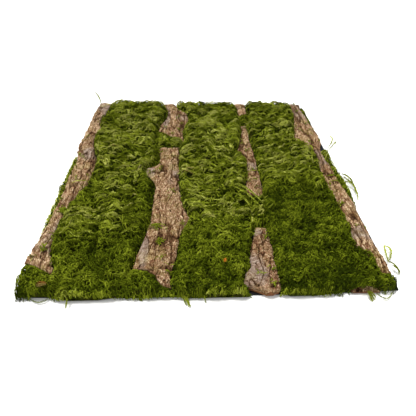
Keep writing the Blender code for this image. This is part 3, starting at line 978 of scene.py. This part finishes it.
def rim_shoots(mask, density, rng):
    """Short shoots along a piece's border that lie outwards and hang over its edge, less over bark."""
    soft = softened(mask.astype(float), RIM_WIDTH)
    border = mask & (soft < 0.82)
    count = int(border.sum() * CELL * CELL * density)
    seeds = fine_shoots(border, count, RIM_LENGTHS, rng)
    outwards = slope_heading(lambda x, y: nearest_in(soft, x, y), seeds["x"], seeds["y"], 0.0015)
    seeds["heading"] = outwards + rng.normal(0.0, 0.80, count)
    ahead_x, ahead_y = (seeds["x"] + 0.0045 * np.cos(outwards), seeds["y"] + 0.0045 * np.sin(outwards))
    seeds["length"] *= 1.0 - 0.5 * nearest_in(bark_field, ahead_x, ahead_y)
    seeds["leaf"] = rng.uniform(0.0007, 0.0012, count)
    seeds["layer"] = rng.uniform(-0.0035, 0.0008, count)
    seeds["dip"] = rng.uniform(0.0005, 0.0030, count)
    seeds["stay"] = np.full(count, -1.0)
    return seeds


def arcs(stems):
    """Paths of single stems: each leaves its first place towards the second, and bends to the third."""
    share = np.linspace(0.0, 1.0, 21)[None, :, None]
    first, middle, last = (MM * np.array([stem[k] for stem in stems])[:, None, :] for k in range(3))
    return (1 - share) ** 2 * first + 2 * share * (1 - share) * middle + share ** 2 * last


def stray_stems(stems, rng):
    """Single stems, each made of three strands side by side, with leaves all round."""
    path = np.repeat(arcs(stems), STEM_STRANDS, 0)
    path = path + rng.normal(0.0, 0.0005, (len(path), 1, 3))
    path[..., 2] = np.maximum(path[..., 2], 0.0012)
    leaf = np.repeat([STEM_LEAF_SHARE * MM * stem[3] for stem in stems], STEM_STRANDS)
    tone = np.repeat([stem[4] for stem in stems], STEM_STRANDS)
    return leafy(path, leaf, tone, ROUND_ROWS, rng)


def sprigs(spots, rng):
    """Little tufts of fine shoots that cling to the bark: each spot has a place, a reach and a count."""
    number = np.repeat(np.arange(len(spots)), [spot[3] for spot in spots])
    centre_x, centre_y, reach = (MM * np.array([spot[k] for spot in spots])[number] for k in range(3))
    seeds = fine_shoots(np.ones(field_x.shape), len(number), SPRIG_LENGTHS, rng)
    seeds["x"] = centre_x + reach * rng.normal(0.0, 0.5, len(number))
    seeds["y"] = centre_y + reach * rng.normal(0.0, 0.5, len(number))
    seeds["layer"] = rng.uniform(0.0025, 0.0050, len(number))
    seeds["stay"] = np.full(len(number), -1.0)
    seeds["tone"] = rng.uniform(0.22, 0.52, len(number))
    return grow(seeds, SHORT_STEPS, SIDE_ROWS, (-0.2510, 0.2510), rng)


def loose_bits(names, count, rng):
    """Random spots for sprigs on some strips of bark."""
    on_bark = np.maximum.reduce([plan_mask(name).astype(float) for name in names])
    x, y = scatter(on_bark, count, rng)
    return [(x[k] / MM, y[k] / MM, 2.5, 2 + int(rng.integers(0, 6))) for k in range(count)]


# Single loose stems: root, bend and tip in millimetres, then the leaf size in millimetres and the tone.
STRAYS = {
    "moss_left": (
        ((-180, -254, 10), (-180, -260, 8), (-181, -266, 2), 0.9, 0.60),
        ((-90, -148, 16), (-78, -140, 20), (-66, -144, 16), 0.9, 0.62),
        ((-94, -144, 17), (-80, -146, 20), (-70, -150, 16), 0.9, 0.55)),
    "moss_front_left_corner": (
        ((-230, -251, 4), (-216, -263, 3), (-205, -252, 4), 0.5, 0.42),
        ((-218, -243, 22), (-212, -240, 25), (-206, -241, 22), 1.4, 0.97),
        ((-217, -245, 21), (-211, -245, 24), (-205, -243, 21), 1.4, 0.95)),
    "moss_centre": (
        ((-36, -255, 10), (-32, -262, 6), (-27, -266, 2), 1.2, 0.62),
        ((-34, -255, 9), (-29, -260, 6), (-30, -266, 2), 1.2, 0.66),
        ((-38, -255, 9), (-35, -262, 5), (-33, -264, 2), 1.2, 0.58),
        ((-10, -255, 9), (-9, -260, 6), (-8, -262, 2), 0.9, 0.60),
        ((17, -214, 24), (18, -213, 27), (20, -212, 24), 2.0, 0.999),
        ((32, -55, 20), (60, -56, 29), (88, -102, 20), 1.4, 0.74),
        ((29, -60, 20), (56, -64, 27), (82, -108, 20), 1.3, 0.68),
        ((37, -80, 20), (55, -81, 26), (66, -112, 19), 1.3, 0.70)),
    "moss_right": (
        ((202, -254, 10), (206, -258, 7), (210, -263, 2), 1.2, 0.66),
        ((200, -254, 10), (203, -260, 6), (206, -264, 2), 1.2, 0.62),
        ((203, -254, 10), (210, -257, 7), (213, -260, 2), 1.2, 0.70)),
    "moss_front_right_corner": (
        ((215, -254, 4), (225, -269, 3), (236, -254, 4), 0.6, 0.52),),
    "moss_right_fringe": (
        ((254, -205, 4), (268, -190, 14), (260, -178, 4), 1.2, 0.68),
        ((254, -208, 4), (249, -186, 18), (263, -178, 3), 1.1, 0.72),
        ((252, -209, 8), (256, -217, 14), (264, -224, 2), 1.2, 0.68),
        ((252, -216, 8), (258, -220, 12), (260, -227, 2), 1.2, 0.62),
        ((252, -15, 8), (268, -30, 14), (263, -64, 3), 1.3, 0.68),
        ((253, -20, 6), (265, -54, 15), (259, -80, 4), 1.3, 0.64),
        ((253, -34, 6), (260, -46, 16), (266, -54, 3), 1.2, 0.72)),
    "moss_back_right_fringe": (
        ((254, 62, 8), (285, 98, 18), (270, 77, 6), 1.2, 0.70),
        ((254, 70, 6), (275, 90, 20), (266, 104, 14), 1.2, 0.66)),
    "moss_left_fringe": (
        ((-244, 240, 14), (-253, 260, 34), (-259, 252, 37), 0.9, 0.60),
        ((-244, 240, 14), (-248, 258, 30), (-260, 264, 28), 0.8, 0.55)),
}
# Sprigs on the bark: place and reach, in millimetres, and how many shoots.
SPRIGS = {
    "moss_left": [(-223, -112, 7, 110), (-79, -144, 4, 16), (-72, -174, 3.5, 22), (-232, -184, 2.5, 14),
                  (-100, -100, 5, 30), (-110, -30, 6, 40), (-96, 45, 5, 24)],
    "moss_centre": [(60, -160, 4, 18), (56, 80, 6, 50), (64, 130, 6, 60)],
    "moss_right": [(196, 160, 5, 20), (218, -100, 3, 10)],
}
BITS = {"moss_left": (("bark_left", "bark_centre_left_front", "bark_centre_left_back"), 40),
        "moss_centre": (("bark_centre_right_front", "bark_centre_right_middle"), 16),
        "moss_right": (("bark_right",), 24)}


def cover(area, sides, rng):
    """The shoots of an area: long locks with filling where it is shaggy, fine pile where it is velvety."""
    soft = np.where(area, velvet_field, 0.0)
    hard = np.where(area, 1.0 - velvet_field, 0.0)
    parts = []
    for field, weight, density, kind in (
            (hard, hard * (ROPE_GAP_SHARE + rope_field), LONG_DENSITY, "long"),
            (soft, soft, LONG_DENSITY * VELVET_LONG_SHARE, "long"),
            (hard, hard, FILL_DENSITY, "fill"), (soft, soft, VELVET_DENSITY, "velvet")):
        count = int(field.sum() * CELL * CELL * density)
        if count < 2 * LOCK:
            continue
        if kind == "long":
            parts.append(grow(long_locks(weight, count, rng), LONG_STEPS, ROUND_ROWS, sides, rng))
            continue
        lengths, steps = (FILL_LENGTHS, SHORT_STEPS) if kind == "fill" else (VELVET_LENGTHS, VELVET_STEPS)
        parts.append(grow(fine_shoots(weight, count, lengths, rng), steps, SIDE_ROWS, sides, rng))
    return parts


def extras(name, sides, rng):
    """What else belongs to a pad or tuft: its rim, its loose stems, and sprigs on the bark beside it."""
    density = RIM_DENSITY * (TUFT_RIM_SHARE if name in TUFTS else 1.0)
    parts = [grow(rim_shoots(moss_masks[name], density, rng), SHORT_STEPS, SIDE_ROWS, sides, rng)]
    if name in STRAYS:
        parts.append(stray_stems(STRAYS[name], rng))
    if name in SPRIGS:
        parts.append(sprigs(SPRIGS[name] + loose_bits(*BITS[name], rng), rng))
    return parts


green_moss = moss_finish()
velvet_field = velvet(field_x, field_y)
rope_field = ropes(field_x, field_y)
for number, (name, mask) in enumerate(moss_masks.items()):
    sides = SIDE_LIMITS.get(name, MAT_SIDES)
    halves = {"": mask}
    if name in PADS:
        halves = {"_front": mask & (field_y < HALF_LINE), "_back": mask & (field_y >= HALF_LINE)}
    for half, area in halves.items():
        rng = np.random.default_rng(1000 + 10 * number + len(half))
        parts = cover(area, sides, rng)
        if half != "_back":
            parts += extras(name, sides, rng)
        place_piece(moss_mesh(name + "_shoots" + half, parts), green_moss, name)
